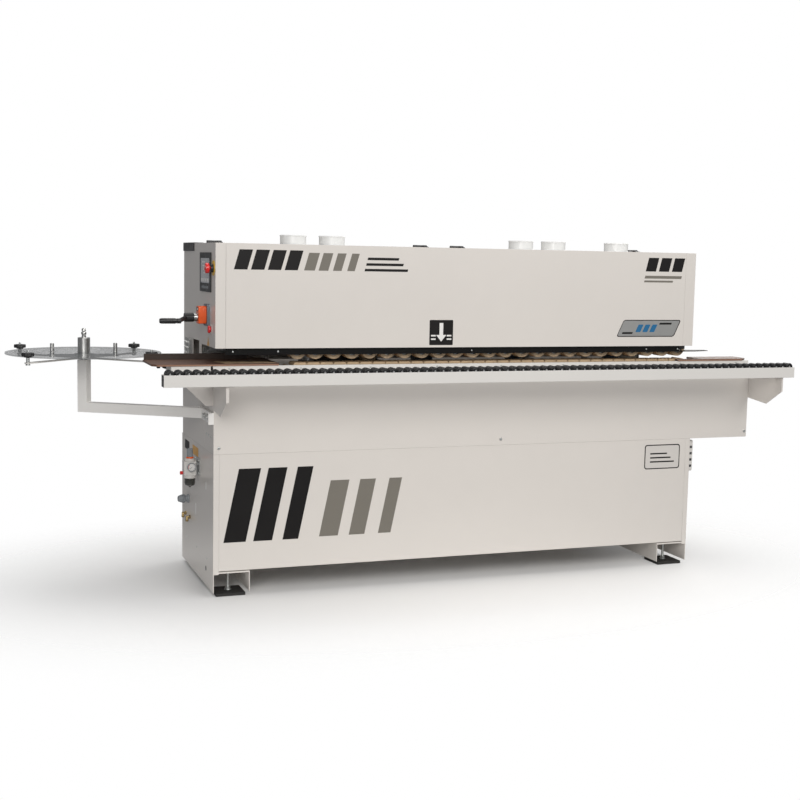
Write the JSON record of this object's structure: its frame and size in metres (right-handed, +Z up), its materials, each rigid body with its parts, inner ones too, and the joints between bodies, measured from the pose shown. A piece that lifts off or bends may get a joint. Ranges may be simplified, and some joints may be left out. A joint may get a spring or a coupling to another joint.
{
  "type": "edge banding machine",
  "caption": "Compact automatic edge banding machine: cabinet base, chain feed under pressure rollers, lifting hood, side roller rail and rotary coil holder.",
  "frame": {"origin": "middle of the footprint at floor height", "axes": "+X along the feed from infeed to outfeed, +Y away from the operator, +Z up"},
  "size_m": [3.204, 1.045, 1.411],
  "materials": {
    "paint": "semi-gloss powder coat",
    "white_paint": "semi-gloss white paint",
    "black": "matt black",
    "steel": "machined steel",
    "dark_steel": "dark grey paint",
    "laminate": "brown laminated board",
    "tan_rubber": "tan rubber",
    "orange": "orange plastic",
    "red": "red plastic",
    "yellow": "yellow plastic",
    "grey": "grey plastic",
    "acrylic": "clear smoked acrylic",
    "motor": "blue-grey enamel"
  },
  "bodies": {
    "machine": {"base_left_side": "paint", "base_right_side": "paint", "base_front_panel": "paint", "base_back_panel": "paint", "feed_beam": "paint", "upper_body": "paint", "rail_bracket_left": "paint", "rail_bracket_right": "paint", "hood_left_end": "paint", "hood_right_end": "paint", "hood_rear_cover": "paint", "coil_arm": "paint", "infeed_support": "white_paint", "table_fascia": "white_paint", "roller_rail": "white_paint", "coil_cross": "white_paint", "air_filter": "white_paint", "rail_rollers": "black", "door_hinge_1": "black", "door_hinge_2": "black", "door_hinge_3": "black", "door_hinge_4": "black", "rear_corner_cap": "black", "control_panel": "black", "coil_spindle": "steel", "levelling_foot_1": "dark_steel", "levelling_foot_2": "dark_steel", "levelling_foot_3": "dark_steel", "levelling_foot_4": "dark_steel", "gluing_unit": "dark_steel", "infeed_table": "laminate", "outfeed_table": "laminate", "feed_chain": "tan_rubber", "height_indicator": "orange", "estop_base": "yellow", "cable_gland": "grey", "feed_motor": "motor", "end_trim_motor": "motor", "trim_motor_lower": "motor", "buff_motor": "motor"},
    "crank": {"crank_handle": "black"},
    "crank_grip": {"crank_grip": "black"},
    "pressure_beam": {"pressure_beam": "dark_steel", "pressure_rollers": "tan_rubber", "skirt_guard": "black", "trim_motor_upper": "motor"},
    "upper_cutter": {"trim_cutter_upper": "steel"},
    "hood_door": {"hood_door": "paint"},
    "emergency_stop": {"estop_button": "red"},
    "reset_button": {"reset_button": "red"},
    "coil_table": {"coil_disc": "acrylic", "coil_core": "steel"},
    "regulator_knob": {"regulator_knob": "grey"},
    "drive_sprocket": {"drive_sprocket": "steel"},
    "idler_sprocket": {"idler_sprocket": "steel"},
    "glue_roller": {"glue_roller": "steel"},
    "press_roller": {"press_roller": "tan_rubber"},
    "end_trim_saw": {"end_trim_saw": "steel"},
    "lower_cutter": {"trim_cutter_lower": "steel"},
    "buff_wheel": {"buff_wheel": "white_paint"}
  },
  "joints": [
    {"name": "crank_turn", "type": "hinge", "parent": "machine", "child": "crank", "pos_m": [-0.934, -0.1645, 1.086], "axis": [-1, 0, 0], "range_deg": [0, 1440]},
    {"name": "grip_spin", "type": "hinge", "parent": "crank", "child": "crank_grip", "pos_m": [-1.032, -0.2445, 1.076], "axis": [-1, 0, 0], "continuous": true},
    {"name": "pressure_lift", "type": "slide", "parent": "machine", "child": "pressure_beam", "axis": [0, 0, 1], "range_m": [0, 0.032]},
    {"name": "upper_cutter_spin", "type": "hinge", "parent": "pressure_beam", "child": "upper_cutter", "pos_m": [0.416, -0.0435, 0.96], "axis": [0, 1, 0], "continuous": true},
    {"name": "door_swing", "type": "hinge", "parent": "machine", "child": "hood_door", "pos_m": [0.184, 0.1125, 1.3795], "axis": [-1, 0, 0], "range_deg": [0, 70]},
    {"name": "stop_press", "type": "slide", "parent": "machine", "child": "emergency_stop", "axis": [1, 0, 0], "range_m": [0, 0.0045], "stiffness_N_per_m": 1200, "springref_m": -0.002},
    {"name": "reset_press", "type": "slide", "parent": "machine", "child": "reset_button", "axis": [1, 0, 0], "range_m": [0, 0.003], "stiffness_N_per_m": 800, "springref_m": -0.002},
    {"name": "coil_turn", "type": "hinge", "parent": "machine", "child": "coil_table", "pos_m": [-1.294, 0.2145, 0.926], "axis": [0, 0, 1], "continuous": true},
    {"name": "regulator_turn", "type": "hinge", "parent": "machine", "child": "regulator_knob", "pos_m": [-0.898, 0.0275, 0.525], "axis": [0, 0, 1], "range_deg": [0, 900]},
    {"name": "drive_sprocket_spin", "type": "hinge", "parent": "machine", "child": "drive_sprocket", "pos_m": [1.211, -0.2125, 0.829], "axis": [0, 1, 0], "continuous": true},
    {"name": "idler_sprocket_spin", "type": "hinge", "parent": "machine", "child": "idler_sprocket", "pos_m": [-0.517, -0.2125, 0.829], "axis": [0, 1, 0], "continuous": true},
    {"name": "glue_roller_spin", "type": "hinge", "parent": "machine", "child": "glue_roller", "pos_m": [-0.424, -0.0405, 0.94], "axis": [0, 0, 1], "continuous": true},
    {"name": "press_roller_spin", "type": "hinge", "parent": "machine", "child": "press_roller", "pos_m": [-0.164, -0.0305, 0.94], "axis": [0, 0, 1], "continuous": true},
    {"name": "end_saw_spin", "type": "hinge", "parent": "machine", "child": "end_trim_saw", "pos_m": [0.076, 0.0575, 1.02], "axis": [1, 0, 0], "continuous": true},
    {"name": "lower_cutter_spin", "type": "hinge", "parent": "machine", "child": "lower_cutter", "pos_m": [0.566, -0.0435, 0.88], "axis": [0, 1, 0], "continuous": true},
    {"name": "buff_wheel_spin", "type": "hinge", "parent": "machine", "child": "buff_wheel", "pos_m": [1.066, -0.0325, 0.955], "axis": [0, 1, 0], "continuous": true}
  ],
  "couplings": [
    {"joint": "crank_turn", "follows": "pressure_lift", "rad_per_m": 785.4},
    {"joint": "idler_sprocket_spin", "follows": "drive_sprocket_spin", "ratio": 1}
  ]
}
